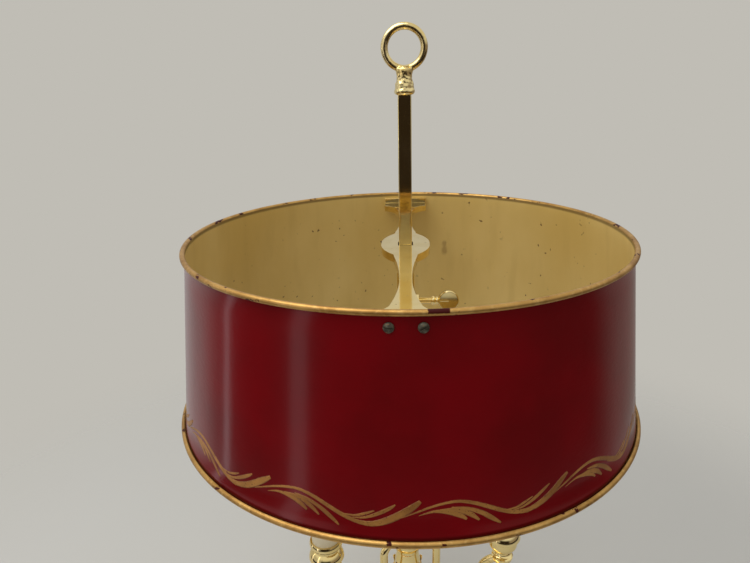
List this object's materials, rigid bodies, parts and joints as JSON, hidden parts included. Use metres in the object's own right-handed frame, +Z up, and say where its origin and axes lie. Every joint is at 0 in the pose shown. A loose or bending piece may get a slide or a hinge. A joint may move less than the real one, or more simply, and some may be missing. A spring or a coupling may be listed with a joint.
{
  "type": "bouillotte table lamp",
  "caption": "Free-standing table lamp: dish base, turned column, curved candle arms, and a drum shade that slides on a square rod and is held by a thumb screw.",
  "frame": {"origin": "on the table, under the middle of the base", "axes": "+Z up along the rod; the shade's cross bar lies along Y; the thumb screw and switch point to +X; the cord inlet points to +Y"},
  "size_m": [0.3712, 0.371, 0.6046],
  "materials": {
    "shade_paint": "dark crimson lacquer outside with a gilt leaf scroll, gold paint inside",
    "rim_gold": "antique gold paint, chipped",
    "polished_brass": "polished and lacquered",
    "plain_brass": "as turned",
    "dark_screws": "darkened, slotted",
    "steel": "zinc plated",
    "cap_metal": "plain",
    "bulb_glass": "clear",
    "bulb_mount": "clear glass with fine wires",
    "candle_card": "cream candle sleeve",
    "holder_plastic": "dark moulded",
    "wire_cover": "gold-coloured wire cover",
    "splicer_plastic": "cream",
    "inlet_rubber": "black",
    "iron": "as cast",
    "felt": "dark green felt"
  },
  "bodies": {
    "lamp": {"arm_1": "polished_brass", "arm_2": "polished_brass", "arm_3": "polished_brass", "arm_hub": "polished_brass", "arm_wire_1": "wire_cover", "arm_wire_2": "wire_cover", "arm_wire_3": "wire_cover", "base_dish": "polished_brass", "base_felt": "felt", "base_weight": "iron", "bulb_cap_1": "cap_metal", "bulb_cap_2": "cap_metal", "bulb_cap_3": "cap_metal", "bulb_glass_1": "bulb_glass", "bulb_glass_2": "bulb_glass", "bulb_glass_3": "bulb_glass", "candle_sleeve_1": "candle_card", "candle_sleeve_2": "candle_card", "candle_sleeve_3": "candle_card", "column_baluster": "polished_brass", "column_knop": "polished_brass", "column_plinth": "polished_brass", "column_vase": "polished_brass", "cord_inlet": "inlet_rubber", "cup_1": "polished_brass", "cup_2": "polished_brass", "cup_3": "polished_brass", "cup_rim_1": "polished_brass", "cup_rim_2": "polished_brass", "cup_rim_3": "polished_brass", "feed_wire": "wire_cover", "filament_1": "bulb_mount", "filament_2": "bulb_mount", "filament_3": "bulb_mount", "lampholder_1": "holder_plastic", "lampholder_2": "holder_plastic", "lampholder_3": "holder_plastic", "nipple_1": "plain_brass", "nipple_2": "plain_brass", "nipple_3": "plain_brass", "ring_finial": "polished_brass", "rod_cap": "polished_brass", "rod_nut": "plain_brass", "square_rod": "polished_brass", "switch_body": "holder_plastic", "switch_nut": "polished_brass", "switch_wire": "wire_cover", "tie_nut": "steel", "tie_tube": "steel", "tie_washer": "steel", "wire_splicer": "splicer_plastic"},
    "shade": {"shade_shell": "shade_paint", "top_rim_wire": "rim_gold", "bottom_rim_wire": "rim_gold", "shade_bar": "polished_brass", "shade_screws": "dark_screws", "slide_sleeve": "polished_brass"},
    "clamp": {"clamp_shoe": "plain_brass"},
    "thumb": {"thumb_screw": "polished_brass"},
    "knob": {"switch_knob": "polished_brass"}
  },
  "joints": [
    {"name": "shade_slide", "type": "slide", "parent": "lamp", "child": "shade", "axis": [0, 0, 1], "range_m": [-0.08, 0.1]},
    {"name": "screw_travel", "type": "slide", "parent": "shade", "child": "clamp", "axis": [1, 0, 0], "range_m": [0, 0.0016]},
    {"name": "screw_turn", "type": "hinge", "parent": "clamp", "child": "thumb", "pos_m": [0.0347, 0, 0.3947], "axis": [1, 0, 0], "range_deg": [0, 720]},
    {"name": "switch_turn", "type": "hinge", "parent": "lamp", "child": "knob", "pos_m": [0.095, 0, 0.0145], "axis": [1, 0, 0], "range_deg": [0, 90]}
  ],
  "couplings": [
    {"joint": "screw_travel", "follows": "screw_turn", "m_per_rad": 0.00012732}
  ]
}
